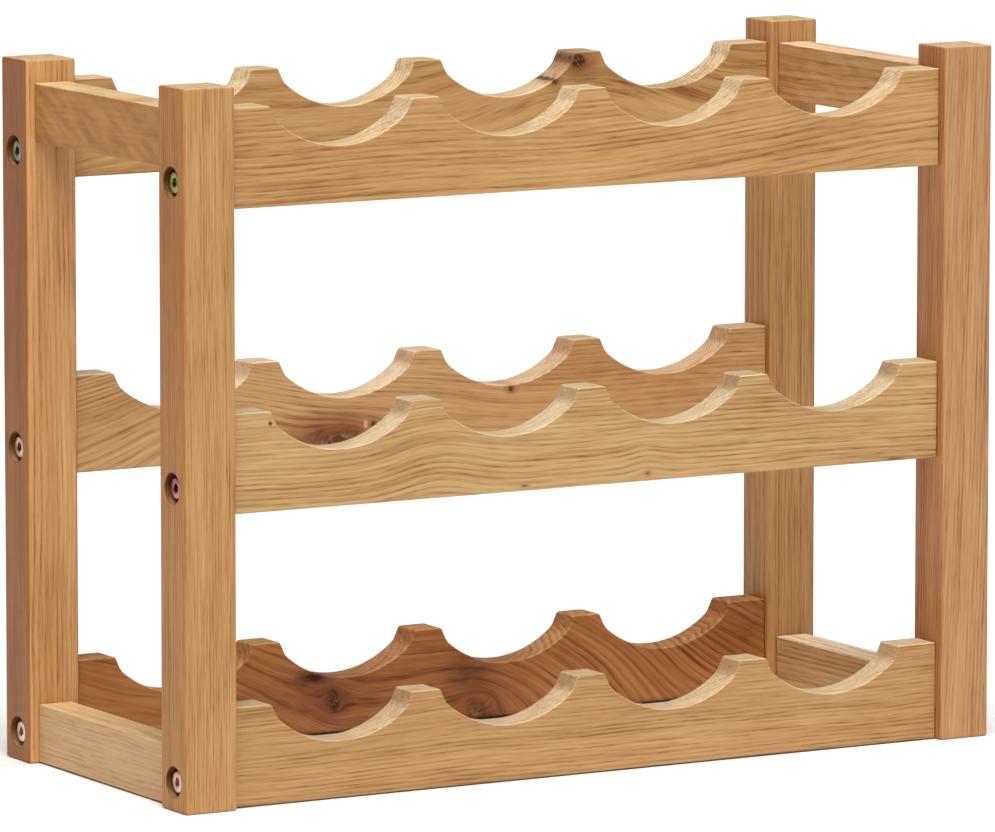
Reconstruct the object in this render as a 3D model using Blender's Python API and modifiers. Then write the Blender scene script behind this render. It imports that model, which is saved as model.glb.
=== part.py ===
"""Twelve-bottle oak wine rack: four posts, six scalloped rails and four side rails.

The rails meet the posts with a counterbored bolt, a barrel nut and a dowel at each end.
The side rails meet the posts with loose tenons. Nothing on the rack moves.

Frame: +X runs along the rails, the front is -Y, +Z is up, and the origin is on the floor
under the middle of the rack. Metres.
"""

import math

import bmesh
import bpy
from mathutils import Matrix, Vector

# Overall size
WIDTH = 0.549
DEPTH = 0.231
HEIGHT = 0.4205

# Posts
POST_X = 0.0335
POST_Y = 0.0312
POST_EDGE = 0.0015

# Room between pieces that touch, and how far a cutter runs past what it cuts
GAP = 0.0003
OVERRUN = 0.002

# Scalloped rails, each carrying four bottles; levels are the heights of their undersides
RAIL_HEIGHT = 0.0585
RAIL_THICKNESS = 0.0215
RAIL_RECESS = 0.006
RAIL_EDGE = 0.0010
RAIL_LEVELS = {"bottom": 0.0005, "middle": 0.1720, "top": 0.3490}
BOTTLES_PER_RAIL = 4
SCALLOP_PITCH = 0.1120
SCALLOP_DEPTH = 0.0250
BOWL_RADIUS = 0.0642
BOWL_HALF_WIDTH = 0.0407
BOWL_STEPS = 10
TURN_RADIUS = 0.0120
TURN_STEPS = 3
FLANK_ANGLE = math.radians(65)
LAND_CORNER_RADIUS = 0.0020
LAND_CORNER_STEPS = 2

# Side rails, between the front and the rear post; levels are the heights of their undersides
SIDE_RAIL_HEIGHT = 0.035
SIDE_RAIL_THICKNESS = 0.022
SIDE_RAIL_RECESS = 0.006
SIDE_RAIL_EDGE = 0.0012
SIDE_RAIL_LEVELS = {"bottom": 0.0005, "top": 0.3720}

# Bolts: one along X through the post into each rail end
BOLT_ABOVE_UNDERSIDE = 0.0165
COUNTERBORE_RADIUS = 0.0090
COUNTERBORE_DEPTH = 0.0075
SHANK_RADIUS = 0.0030
SHANK_HOLE_RADIUS = 0.0035
SHANK_LENGTH = 0.048
SHANK_HOLE_LENGTH = 0.058
HEAD_RADIUS = 0.0065
HEAD_HEIGHT = 0.0050
HEAD_EDGE = 0.0008
SOCKET_ACROSS_FLATS = 0.0050
SOCKET_DEPTH = 0.0032
ROUND_STEPS = 16

# Barrel nuts: upright in the rail, pushed in from its underside
NUT_RADIUS = 0.0050
NUT_LENGTH = 0.0180
NUT_FROM_RAIL_END = 0.0180
NUT_STEPS = 12
NUT_SLOT_WIDTH = 0.0012
NUT_SLOT_DEPTH = 0.0015

# Dowels: above the bolt, from the post into the rail end
DOWEL_RADIUS = 0.0040
DOWEL_IN_POST = 0.0095
DOWEL_IN_RAIL = 0.0190
DOWEL_EDGE = 0.0008
DOWEL_ABOVE_UNDERSIDE = 0.0380
DOWEL_STEPS = 10

# Loose tenons: from the post into the side rail end
TENON_THICKNESS = 0.0070
TENON_HEIGHT = 0.0220
TENON_IN_POST = 0.0105
TENON_IN_RAIL = 0.0150
TENON_ARC_STEPS = 4

# Finishes: colour, roughness, metallic
FINISHES = {
    "oak_honey": ((0.56, 0.36, 0.17, 1.0), 0.50, 0.0),
    "oak_pink": ((0.52, 0.31, 0.16, 1.0), 0.50, 0.0),
    "oak_dark": ((0.33, 0.15, 0.07, 1.0), 0.50, 0.0),
    "oak_pale": ((0.62, 0.42, 0.22, 1.0), 0.55, 0.0),
    "zinc": ((0.62, 0.58, 0.50, 1.0), 0.32, 1.0),
    "steel": ((0.50, 0.50, 0.50, 1.0), 0.40, 1.0),
    "beech": ((0.70, 0.52, 0.33, 1.0), 0.60, 0.0),
}
POST_FINISHES = {
    "front_left": "oak_honey",
    "front_right": "oak_pink",
    "rear_left": "oak_dark",
    "rear_right": "oak_honey",
}
RAIL_FINISHES = {"rear_bottom": "oak_dark", "front_middle": "oak_pale"}

SIDES_X = {"left": -1, "right": 1}
SIDES_Y = {"front": -1, "rear": 1}

RAIL_LENGTH = WIDTH - 2 * POST_X - 2 * GAP
SIDE_RAIL_LENGTH = DEPTH - 2 * POST_Y - 2 * GAP
RAIL_CENTRE_Y = DEPTH / 2 - RAIL_RECESS - RAIL_THICKNESS / 2
SIDE_RAIL_CENTRE_X = WIDTH / 2 - SIDE_RAIL_RECESS - SIDE_RAIL_THICKNESS / 2
BOLT_CENTRE_Y = DEPTH / 2 - POST_Y / 2


def clear_scene():
    for obj in list(bpy.data.objects):
        bpy.data.objects.remove(obj, do_unlink=True)


def new_collection(name):
    collection = bpy.data.collections.new(name)
    bpy.context.scene.collection.children.link(collection)
    return collection


def finish(name):
    """The material of this finish, made once for each sub-part that uses it."""
    colour, roughness, metallic = FINISHES[name]
    material = bpy.data.materials.new(name)
    material.use_nodes = True
    shader = material.node_tree.nodes["Principled BSDF"]
    shader.inputs["Base Color"].default_value = colour
    shader.inputs["Roughness"].default_value = roughness
    shader.inputs["Metallic"].default_value = metallic
    material.diffuse_color = colour
    return material


def new_object(name, mesh, collection, matrix=None):
    obj = bpy.data.objects.new(name, mesh)
    collection.objects.link(obj)
    if matrix is not None:
        obj.matrix_world = matrix
    return obj


def make_cutter(obj):
    obj.hide_render = True
    obj.display_type = "WIRE"
    return obj


def box_mesh(name, size):
    """A box centred on its origin."""
    mesh = bpy.data.meshes.new(name)
    bm = bmesh.new()
    bmesh.ops.create_cube(bm, size=1.0)
    bmesh.ops.scale(bm, vec=size, verts=bm.verts)
    bm.to_mesh(mesh)
    bm.free()
    return mesh


def evaluated_mesh(obj, weld=0.00002):
    """The object's mesh with its modifiers or its curve worked out, in its own frame."""
    depsgraph = bpy.context.evaluated_depsgraph_get()
    depsgraph.update()
    mesh = bpy.data.meshes.new_from_object(obj.evaluated_get(depsgraph))
    bm = bmesh.new()
    bm.from_mesh(mesh)
    bmesh.ops.remove_doubles(bm, verts=bm.verts, dist=weld)
    bm.to_mesh(mesh)
    bm.free()
    return mesh


def turned_mesh(name, profile, steps):
    """A shape turned about Z from (radius, height) points that run from its top to its bottom."""
    bm = bmesh.new()
    verts = [bm.verts.new((radius, 0.0, height)) for radius, height in profile]
    for upper, lower in zip(verts, verts[1:]):
        bm.edges.new((upper, lower))
    outline = bpy.data.meshes.new(name + "_profile")
    bm.to_mesh(outline)
    bm.free()
    lathe = new_object(name + "_lathe", outline, bpy.context.scene.collection)
    screw = lathe.modifiers.new("turn", "SCREW")
    screw.steps = steps
    screw.render_steps = steps
    screw.use_merge_vertices = True
    screw.merge_threshold = 0.00005
    mesh = evaluated_mesh(lathe)
    mesh.name = name
    bpy.data.objects.remove(lathe, do_unlink=True)
    return mesh


def outline_mesh(name, points, thickness):
    """A closed flat outline in X and Z, extruded to this thickness about Y = 0."""
    curve = bpy.data.curves.new(name + "_outline", "CURVE")
    curve.dimensions = "2D"
    curve.fill_mode = "BOTH"
    curve.extrude = thickness / 2
    spline = curve.splines.new("POLY")
    spline.points.add(len(points) - 1)
    for point, (x, z) in zip(spline.points, points):
        point.co = (x, z, 0.0, 1.0)
    spline.use_cyclic_u = True
    drawn = new_object(name + "_drawn", curve, bpy.context.scene.collection)
    mesh = evaluated_mesh(drawn)
    mesh.name = name
    mesh.transform(Matrix.Rotation(math.pi / 2, 4, "X"))
    bpy.data.objects.remove(drawn, do_unlink=True)
    bpy.data.curves.remove(curve)
    return mesh


def add_bevel(obj, width, segments=1, angle=math.radians(40)):
    bevel = obj.modifiers.new("eased edges", "BEVEL")
    bevel.width = width
    bevel.segments = segments
    bevel.limit_method = "ANGLE"
    bevel.angle_limit = angle


def add_cut(obj, cutter):
    cut = obj.modifiers.new("cut " + cutter.name, "BOOLEAN")
    cut.operation = "DIFFERENCE"
    cut.solver = "EXACT"
    cut.object = cutter


def shade_round(mesh):
    mesh.shade_smooth()
    mesh.set_sharp_from_angle(angle=math.radians(35))


# Meshes that several objects share

def bolt_hole_mesh():
    """The counterbore and the shank's hole, from outside the post to inside the rail along +Z."""
    profile = [
        (0.0, SHANK_HOLE_LENGTH),
        (SHANK_HOLE_RADIUS, SHANK_HOLE_LENGTH),
        (SHANK_HOLE_RADIUS, COUNTERBORE_DEPTH),
        (COUNTERBORE_RADIUS, COUNTERBORE_DEPTH),
        (COUNTERBORE_RADIUS, -OVERRUN),
        (0.0, -OVERRUN),
    ]
    return turned_mesh("bolt_hole", profile, ROUND_STEPS)


def bolt_mesh():
    """A bolt along +Z with its head's seat on the counterbore's floor and a hexagon socket."""
    seat = COUNTERBORE_DEPTH - GAP
    face = seat - HEAD_HEIGHT
    tip = seat + SHANK_LENGTH
    profile = [
        (0.0, tip),
        (SHANK_RADIUS - HEAD_EDGE, tip),
        (SHANK_RADIUS, tip - HEAD_EDGE),
        (SHANK_RADIUS, seat),
        (HEAD_RADIUS, seat),
        (HEAD_RADIUS, face + HEAD_EDGE),
        (HEAD_RADIUS - HEAD_EDGE, face),
        (0.0, face),
    ]
    blank = new_object("bolt_blank", turned_mesh("bolt", profile, ROUND_STEPS), bpy.context.scene.collection)
    bm = bmesh.new()
    corner_radius = SOCKET_ACROSS_FLATS / math.sqrt(3.0)
    bmesh.ops.create_cone(bm, cap_ends=True, segments=6, radius1=corner_radius, radius2=corner_radius,
                          depth=2 * SOCKET_DEPTH, matrix=Matrix.Translation((0.0, 0.0, face)))
    socket = bpy.data.meshes.new("socket")
    bm.to_mesh(socket)
    bm.free()
    key = make_cutter(new_object("socket_cutter", socket, bpy.context.scene.collection))
    add_cut(blank, key)
    mesh = evaluated_mesh(blank)
    mesh.name = "bolt"
    shade_round(mesh)
    for helper in (blank, key):
        bpy.data.objects.remove(helper, do_unlink=True)
    return mesh


def barrel_nut_mesh():
    """An upright barrel nut with its cross hole along X and a slot in its lower end."""
    half = NUT_LENGTH / 2
    profile = [(0.0, half), (NUT_RADIUS, half), (NUT_RADIUS, -half), (0.0, -half)]
    blank = new_object("nut_blank", turned_mesh("barrel_nut", profile, NUT_STEPS), bpy.context.scene.collection)
    bm = bmesh.new()
    bore_radius = SHANK_RADIUS + GAP
    bmesh.ops.create_cone(bm, cap_ends=True, segments=NUT_STEPS, radius1=bore_radius, radius2=bore_radius,
                          depth=4 * NUT_RADIUS, matrix=Matrix.Rotation(math.pi / 2, 4, "Y"))
    bore = bpy.data.meshes.new("nut_bore")
    bm.to_mesh(bore)
    bm.free()
    slot = box_mesh("nut_slot", (NUT_SLOT_WIDTH, 4 * NUT_RADIUS, 2 * NUT_SLOT_DEPTH))
    slot.transform(Matrix.Translation((0.0, 0.0, -half)))
    cutters = [make_cutter(new_object(mesh.name + "_cutter", mesh, bpy.context.scene.collection))
               for mesh in (bore, slot)]
    for cutter in cutters:
        add_cut(blank, cutter)
    mesh = evaluated_mesh(blank)
    mesh.name = "barrel_nut"
    shade_round(mesh)
    for helper in [blank] + cutters:
        bpy.data.objects.remove(helper, do_unlink=True)
    return mesh


def nut_hole_mesh():
    """The hole for a barrel nut, from below the rail's underside up past the nut."""
    top = BOLT_ABOVE_UNDERSIDE + NUT_LENGTH / 2 + GAP
    radius = NUT_RADIUS + GAP
    profile = [(0.0, top), (radius, top), (radius, -OVERRUN), (0.0, -OVERRUN)]
    return turned_mesh("nut_hole", profile, NUT_STEPS)


def dowel_mesh(name, radius, in_post, in_rail, edge):
    """A dowel along +Z whose origin is on the post's inner face; a hole is the same with no edge."""
    profile = [(0.0, in_rail), (radius - edge, in_rail)]
    if edge:
        profile += [(radius, in_rail - edge), (radius, -in_post + edge)]
    profile += [(radius - edge, -in_post), (0.0, -in_post)]
    return turned_mesh(name, profile, DOWEL_STEPS)


def tenon_mesh(name, thickness, height, start, end):
    """A flat tenon with round edges along Y, from start to end."""
    radius = thickness / 2
    reach = height / 2 - radius
    points = []
    for centre, first in ((reach, 0.0), (-reach, math.pi)):
        for step in range(TENON_ARC_STEPS + 1):
            angle = first + math.pi * step / TENON_ARC_STEPS
            points.append((radius * math.cos(angle), centre + radius * math.sin(angle)))
    mesh = outline_mesh(name, points, end - start)
    mesh.transform(Matrix.Translation((0.0, (start + end) / 2, 0.0)))
    return mesh


def scallop_half():
    """Half of one scallop, from the land down to the bottom, with the rail's top at zero.

    The land's corner is rounded into a straight flank, and a short turn joins the flank to the bowl.
    """
    bowl_angle = math.asin(BOWL_HALF_WIDTH / BOWL_RADIUS)
    bowl_top = BOWL_RADIUS * (1 - math.cos(bowl_angle)) - SCALLOP_DEPTH
    turn_rise = TURN_RADIUS * (math.cos(bowl_angle) - math.cos(FLANK_ANGLE))
    turn_run = TURN_RADIUS * (math.sin(FLANK_ANGLE) - math.sin(bowl_angle))
    land_edge = BOWL_HALF_WIDTH + turn_run - (bowl_top + turn_rise) / math.tan(FLANK_ANGLE)
    corner_start = land_edge + LAND_CORNER_RADIUS * math.tan(FLANK_ANGLE / 2)

    points = []
    for step in range(LAND_CORNER_STEPS + 1):
        angle = FLANK_ANGLE * step / LAND_CORNER_STEPS
        x = corner_start - LAND_CORNER_RADIUS * math.sin(angle)
        z = LAND_CORNER_RADIUS * (math.cos(angle) - 1)
        points.append((x, z))
    for step in range(TURN_STEPS):
        angle = FLANK_ANGLE + (bowl_angle - FLANK_ANGLE) * step / TURN_STEPS
        x = BOWL_HALF_WIDTH + TURN_RADIUS * (math.sin(angle) - math.sin(bowl_angle))
        z = bowl_top + TURN_RADIUS * (math.cos(bowl_angle) - math.cos(angle))
        points.append((x, z))
    half_steps = BOWL_STEPS // 2
    for step in range(half_steps + 1):
        angle = bowl_angle * (1 - step / half_steps)
        points.append((BOWL_RADIUS * math.sin(angle), BOWL_RADIUS * (1 - math.cos(angle)) - SCALLOP_DEPTH))
    return points


def rail_outline():
    """The rail's outline about its own middle, with its underside at zero and scallops along its top."""
    half = RAIL_LENGTH / 2
    points = [(-half, 0.0), (half, 0.0), (half, RAIL_HEIGHT)]
    for place in reversed(range(BOTTLES_PER_RAIL)):
        centre = (place - (BOTTLES_PER_RAIL - 1) / 2) * SCALLOP_PITCH
        right = scallop_half()
        left = [(-x, z) for x, z in reversed(right[:-1])]
        points += [(centre + x, RAIL_HEIGHT + z) for x, z in right + left]
    points.append((-half, RAIL_HEIGHT))
    return points


# Pieces

def make_posts(parts):
    posts = {}
    for y_name, y_side in SIDES_Y.items():
        for x_name, x_side in SIDES_X.items():
            corner = y_name + "_" + x_name
            centre = Vector((x_side * (WIDTH - POST_X) / 2, y_side * (DEPTH - POST_Y) / 2, HEIGHT / 2))
            mesh = box_mesh("post_" + corner, (POST_X, POST_Y, HEIGHT))
            post = new_object("post_" + corner, mesh, parts, Matrix.Translation(centre))
            post.data.materials.append(finish(POST_FINISHES[corner]))
            add_bevel(post, POST_EDGE, segments=2)
            posts[corner] = post
    return posts


def make_rails(parts):
    rails = {}
    for y_name, y_side in SIDES_Y.items():
        for level, underside in RAIL_LEVELS.items():
            key = y_name + "_" + level
            name = "rail_" + key
            mesh = outline_mesh(name, rail_outline(), RAIL_THICKNESS)
            place = Matrix.Translation((0.0, y_side * RAIL_CENTRE_Y, underside))
            rail = new_object(name, mesh, parts, place)
            rail.data.materials.append(finish(RAIL_FINISHES.get(key, "oak_honey")))
            add_bevel(rail, RAIL_EDGE, angle=math.radians(50))
            rails[key] = rail
    return rails


def make_side_rails(parts):
    side_rails = {}
    for x_name, x_side in SIDES_X.items():
        for level, underside in SIDE_RAIL_LEVELS.items():
            key = x_name + "_" + level
            name = "side_rail_" + key
            mesh = box_mesh(name, (SIDE_RAIL_THICKNESS, SIDE_RAIL_LENGTH, SIDE_RAIL_HEIGHT))
            centre = (x_side * SIDE_RAIL_CENTRE_X, 0.0, underside + SIDE_RAIL_HEIGHT / 2)
            side_rail = new_object(name, mesh, parts, Matrix.Translation(centre))
            side_rail.data.materials.append(finish("oak_pale"))
            add_bevel(side_rail, SIDE_RAIL_EDGE)
            side_rails[key] = side_rail
    return side_rails


def join_rails_to_posts(posts, rails, parts, cutters):
    """A bolt, a barrel nut and a dowel at each end of each rail, and the holes that they sit in."""
    bolt_hole = bolt_hole_mesh()
    bolt = bolt_mesh()
    bolt.materials.append(finish("zinc"))
    nut_hole = nut_hole_mesh()
    nut = barrel_nut_mesh()
    nut.materials.append(finish("steel"))
    dowel_hole = dowel_mesh("dowel_hole", DOWEL_RADIUS + GAP, DOWEL_IN_POST + GAP, DOWEL_IN_RAIL + GAP, 0.0)
    dowel = dowel_mesh("dowel", DOWEL_RADIUS, DOWEL_IN_POST, DOWEL_IN_RAIL, DOWEL_EDGE)
    shade_round(dowel)
    dowel.materials.append(finish("beech"))
    for y_name, y_side in SIDES_Y.items():
        for x_name, x_side in SIDES_X.items():
            post = posts[y_name + "_" + x_name]
            inward = Matrix.Rotation(-x_side * math.pi / 2, 4, "Y")
            for level, underside in RAIL_LEVELS.items():
                rail = rails[y_name + "_" + level]
                place = "_".join((y_name, level, x_name))
                bolt_start = Vector((x_side * WIDTH / 2, y_side * BOLT_CENTRE_Y, underside + BOLT_ABOVE_UNDERSIDE))
                along_bolt = Matrix.Translation(bolt_start) @ inward
                hole = make_cutter(new_object("bolt_hole_" + place, bolt_hole, cutters, along_bolt))
                add_cut(post, hole)
                add_cut(rail, hole)
                new_object("bolt_" + place, bolt, parts, along_bolt)

                nut_x = x_side * (WIDTH / 2 - POST_X - GAP - NUT_FROM_RAIL_END)
                upright = Matrix.Translation((nut_x, y_side * BOLT_CENTRE_Y, underside))
                pocket = make_cutter(new_object("nut_hole_" + place, nut_hole, cutters, upright))
                add_cut(rail, pocket)
                nut_place = upright @ Matrix.Translation((0.0, 0.0, BOLT_ABOVE_UNDERSIDE))
                new_object("barrel_nut_" + place, nut, parts, nut_place)

                inner_face = x_side * (WIDTH / 2 - POST_X)
                dowel_start = Vector((inner_face, y_side * BOLT_CENTRE_Y, underside + DOWEL_ABOVE_UNDERSIDE))
                along_dowel = Matrix.Translation(dowel_start) @ inward
                socket = make_cutter(new_object("dowel_hole_" + place, dowel_hole, cutters, along_dowel))
                add_cut(post, socket)
                add_cut(rail, socket)
                new_object("dowel_" + place, dowel, parts, along_dowel)


def join_side_rails_to_posts(posts, side_rails, parts, cutters):
    """A loose tenon at each end of each side rail, and the mortises that it sits in."""
    tenon = tenon_mesh("tenon", TENON_THICKNESS, TENON_HEIGHT, -TENON_IN_POST, TENON_IN_RAIL)
    tenon.materials.append(finish("beech"))
    mortise = tenon_mesh("mortise", TENON_THICKNESS + 2 * GAP, TENON_HEIGHT + 2 * GAP,
                         -TENON_IN_POST - GAP, TENON_IN_RAIL + GAP)
    for y_name, y_side in SIDES_Y.items():
        for x_name, x_side in SIDES_X.items():
            post = posts[y_name + "_" + x_name]
            turn = Matrix.Rotation(0.0 if y_side < 0 else math.pi, 4, "Z")
            for level, underside in SIDE_RAIL_LEVELS.items():
                place = "_".join((y_name, level, x_name))
                inner_face = y_side * (DEPTH / 2 - POST_Y)
                centre = Vector((x_side * SIDE_RAIL_CENTRE_X, inner_face, underside + SIDE_RAIL_HEIGHT / 2))
                along_tenon = Matrix.Translation(centre) @ turn
                slot = make_cutter(new_object("mortise_" + place, mortise, cutters, along_tenon))
                add_cut(post, slot)
                add_cut(side_rails[x_name + "_" + level], slot)
                new_object("tenon_" + place, tenon, parts, along_tenon)


def main():
    clear_scene()
    parts = new_collection("wine_rack")
    cutters = new_collection("cutters")
    posts = make_posts(parts)
    rails = make_rails(parts)
    side_rails = make_side_rails(parts)
    join_rails_to_posts(posts, rails, parts, cutters)
    join_side_rails_to_posts(posts, side_rails, parts, cutters)


main()
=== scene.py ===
"""Looks for the twelve-bottle oak wine rack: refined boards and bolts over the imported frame.

Every board is rebuilt with eased edges, finely stepped scallops and all its holes, and gets its own
oak, a solid pattern that runs along the board. Metres, in the frame's own coordinates.
"""

import math

import bmesh
import bpy
from mathutils import Matrix, Vector


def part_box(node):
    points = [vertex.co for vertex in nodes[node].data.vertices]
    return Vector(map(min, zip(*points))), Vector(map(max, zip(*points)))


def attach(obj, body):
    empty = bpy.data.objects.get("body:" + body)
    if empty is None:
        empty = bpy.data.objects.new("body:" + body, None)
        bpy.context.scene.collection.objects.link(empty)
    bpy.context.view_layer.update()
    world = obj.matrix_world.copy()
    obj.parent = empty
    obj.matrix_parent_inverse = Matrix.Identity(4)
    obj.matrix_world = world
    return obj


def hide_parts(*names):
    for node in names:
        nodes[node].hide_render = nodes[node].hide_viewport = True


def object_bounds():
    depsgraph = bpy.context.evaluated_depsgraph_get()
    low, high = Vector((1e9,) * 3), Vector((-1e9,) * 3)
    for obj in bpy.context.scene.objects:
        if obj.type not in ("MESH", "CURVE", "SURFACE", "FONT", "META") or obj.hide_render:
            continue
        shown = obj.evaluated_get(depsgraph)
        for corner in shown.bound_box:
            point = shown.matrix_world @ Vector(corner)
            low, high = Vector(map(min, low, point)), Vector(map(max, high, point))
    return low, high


# Scalloped rails
BOTTLES_PER_RAIL = 4
SCALLOP_PITCH = 0.1120
SCALLOP_DEPTH = 0.0250
BOWL_RADIUS = 0.0642
BOWL_HALF_WIDTH = 0.0407
BOWL_STEPS = 48
TURN_RADIUS = 0.0120
TURN_STEPS = 6
FLANK_ANGLE = math.radians(65)
LAND_CORNER_RADIUS = 0.0020
LAND_CORNER_STEPS = 6
RAIL_EDGE = 0.0009

# Other boards
POST_EDGE = 0.0015
SIDE_RAIL_EDGE = 0.0012
EDGE_SEGMENTS = 4
EASED_ABOVE = math.radians(50)
SHARP_ABOVE = math.radians(38)
OVERRUN = 0.002
GAP = 0.0003

# Fittings
COUNTERBORE_RADIUS = 0.0090
COUNTERBORE_DEPTH = 0.0075
COUNTERBORE_EDGE = 0.0005
SHANK_RADIUS = 0.0030
SHANK_HOLE_RADIUS = 0.0035
SHANK_HOLE_LENGTH = 0.058
HEAD_RADIUS = 0.0065
HEAD_HEIGHT = 0.0050
HEAD_EDGE = 0.0009
SOCKET_SIDES = 6
SOCKET_ACROSS_FLATS = 0.0050
SOCKET_DEPTH = 0.0032
SOCKET_RIM = 0.0003
NUT_CLEARANCE = 0.0003
ROUND_STEPS = 48

# Camera
CAMERA_PLACE = (-2.6570, -4.6421, 0.9259)
CAMERA_YAW = math.radians(-29.769)
CAMERA_PITCH = math.radians(90 - 7.724)
CAMERA_LENS = 325.67
SENSOR_WIDTH = 36.0
CLIP_END = 200.0

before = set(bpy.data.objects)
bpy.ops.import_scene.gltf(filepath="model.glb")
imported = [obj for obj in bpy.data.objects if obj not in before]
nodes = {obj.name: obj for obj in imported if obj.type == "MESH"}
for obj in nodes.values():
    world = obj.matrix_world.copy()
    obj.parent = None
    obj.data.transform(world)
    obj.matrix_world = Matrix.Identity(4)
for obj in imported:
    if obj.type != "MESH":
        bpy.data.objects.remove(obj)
cad_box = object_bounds()
scene = bpy.context.scene


# Node trees

class Field:
    """A value that a node tree works out at each point. Arithmetic on it adds Math nodes."""

    def __init__(self, tree, socket):
        self.tree = tree
        self.socket = socket

    def math(self, operation, *others, clamp=False):
        node = self.tree.nodes.new("ShaderNodeMath")
        node.operation = operation
        node.use_clamp = clamp
        for place, value in enumerate((self,) + others):
            if isinstance(value, Field):
                self.tree.links.new(value.socket, node.inputs[place])
            else:
                node.inputs[place].default_value = value
        return Field(self.tree, node.outputs[0])

    def __add__(self, other):
        return self.math("ADD", other)

    def __sub__(self, other):
        return self.math("SUBTRACT", other)

    def __mul__(self, other):
        return self.math("MULTIPLY", other)

    def __truediv__(self, other):
        return self.math("DIVIDE", other)

    def clamped(self):
        return self.math("ADD", 0.0, clamp=True)

    def curve(self, stops):
        """The field through a grey ramp of (place, value) stops."""
        node = self.tree.nodes.new("ShaderNodeValToRGB")
        set_ramp(node.color_ramp, [(place, (value, value, value)) for place, value in stops])
        self.tree.links.new(self.socket, node.inputs[0])
        return Field(self.tree, node.outputs[0])

    def colours(self, stops):
        """The field through a ramp of (place, colour) stops, as a colour socket."""
        node = self.tree.nodes.new("ShaderNodeValToRGB")
        set_ramp(node.color_ramp, stops)
        self.tree.links.new(self.socket, node.inputs[0])
        return node.outputs[0]


def set_ramp(ramp, stops):
    while len(ramp.elements) < len(stops):
        ramp.elements.new(0.5)
    for element, (place, colour) in zip(ramp.elements, stops):
        element.position = place
        element.color = (*colour, 1.0)


def new_material(name):
    material = bpy.data.materials.new(name)
    material.use_nodes = True
    shader = material.node_tree.nodes["Principled BSDF"]
    return material, material.node_tree, shader


def combine(tree, fields):
    node = tree.nodes.new("ShaderNodeCombineXYZ")
    for place, field in enumerate(fields):
        tree.links.new(field.socket, node.inputs[place])
    return node.outputs[0]


def noise(tree, vector, scale, seed, detail=2.0, roughness=0.5):
    """Noise over a stretched vector; scale is cycles per metre along each axis."""
    stretch = tree.nodes.new("ShaderNodeVectorMath")
    stretch.operation = "MULTIPLY_ADD"
    stretch.inputs[1].default_value = scale
    stretch.inputs[2].default_value = (seed * 3.17, seed * 7.31, seed * 5.23)
    tree.links.new(vector, stretch.inputs[0])
    node = tree.nodes.new("ShaderNodeTexNoise")
    node.inputs["Scale"].default_value = 1.0
    node.inputs["Detail"].default_value = detail
    node.inputs["Roughness"].default_value = roughness
    tree.links.new(stretch.outputs[0], node.inputs["Vector"])
    return Field(tree, node.outputs["Fac"])


def mix_colour(tree, amount, colour, other, blend="MIX"):
    """colour turned into, or multiplied by, another one, as far as a field says."""
    node = tree.nodes.new("ShaderNodeMix")
    node.data_type = "RGBA"
    node.blend_type = blend
    tree.links.new(amount.socket, node.inputs[0])
    tree.links.new(colour, node.inputs[6])
    node.inputs[7].default_value = (*other, 1.0)
    return node.outputs[2]


def add_bump(tree, shader, height, strength, distance):
    bump = tree.nodes.new("ShaderNodeBump")
    bump.inputs["Strength"].default_value = strength
    bump.inputs["Distance"].default_value = distance
    tree.links.new(height.socket, bump.inputs["Height"])
    tree.links.new(bump.outputs[0], shader.inputs["Normal"])


# Oak. A board's grain runs along its first axis, its face lies across its second.
BOARD_AXES = {"rail": (0, 2, 1), "post": (2, 0, 1), "side_rail": (1, 2, 0)}

# Noise, in cycles per metre along the grain, across it and through the board
SWAY_SCALE = (3.0, 7.0, 7.0)
WAVER_SCALE = (14.0, 40.0, 40.0)
DRIFT_SCALE = (6.0, 60.0, 60.0)
FIBRE_SCALE = (26.0, 700.0, 700.0)
STREAK_SCALE = (7.0, 150.0, 150.0)
CLOUD_SCALE = (9.0, 22.0, 22.0)
RAY_SCALE = (70.0, 260.0, 120.0)
BAND_SCALE = (22.0, 130.0, 60.0)
RAGGED_SCALE = (90.0, 260.0, 260.0)
SPECKLE_SCALE = (900.0, 1100.0, 1100.0)
PORE_SCALE_ACROSS = 1300.0
SHORT_PORES = 200.0
PORE_LENGTHENING = 130.0

# Grey ramps of (place, value) stops
RING_STOPS = [(0.0, 0.75), (0.12, 1.0), (0.45, 0.28), (0.80, 0.0), (1.0, 0.70)]
PORE_STOPS = [(0.0, 0.0), (0.52, 0.0), (0.68, 1.0), (1.0, 1.0)]
END_STOPS = [(0.0, 0.0), (0.62, 0.0), (0.90, 1.0), (1.0, 1.0)]
# Which faces take the painted light and shade of tops and post side faces
PAINTED_FACE_LIGHT_STOPS = [(0.0, 0.0), (0.25, 0.0), (0.80, 1.0), (1.0, 1.0)]
EYE_STOPS = [(0.0, 1.0), (0.55, 0.85), (0.85, 0.0), (1.0, 0.0)]
CRACK_STOPS = [(0.0, 1.0), (0.05, 0.6), (0.10, 0.0), (1.0, 0.0)]
CRACKED_STOPS = [(0.0, 1.0), (0.45, 1.0), (0.80, 0.0), (1.0, 0.0)]

# How far each pattern moves the tone, which runs from dark at zero to light at one
MIDDLE_TONE = 0.60
FIBRE_CONTRAST = 1.10
STREAK_CONTRAST = 0.60
CLOUD_CONTRAST = 0.34
STRIPE_CONTRAST = 0.30
PORE_CONTRAST = 0.28
BAND_CONTRAST = 1.2
RAY_CONTRAST = 0.6
END_CONTRAST = 0.5

# Shade inside the bolt holes, deeper above the bolt than below it
BORE_SHADE = (0.26, 0.17, 0.11)
BORE_SHADE_RADIUS = 0.0097
BORE_SHADE_FADE = 0.0005
BORE_SHADE_DEPTH = 0.92
BORE_SHADE_SLOPE = 50.0

OAK_ROUGHNESS = 0.40
OAK_SPECULAR = 0.22
GRAIN_RELIEF = 0.0003
GRAIN_RELIEF_STRENGTH = 0.35


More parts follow.
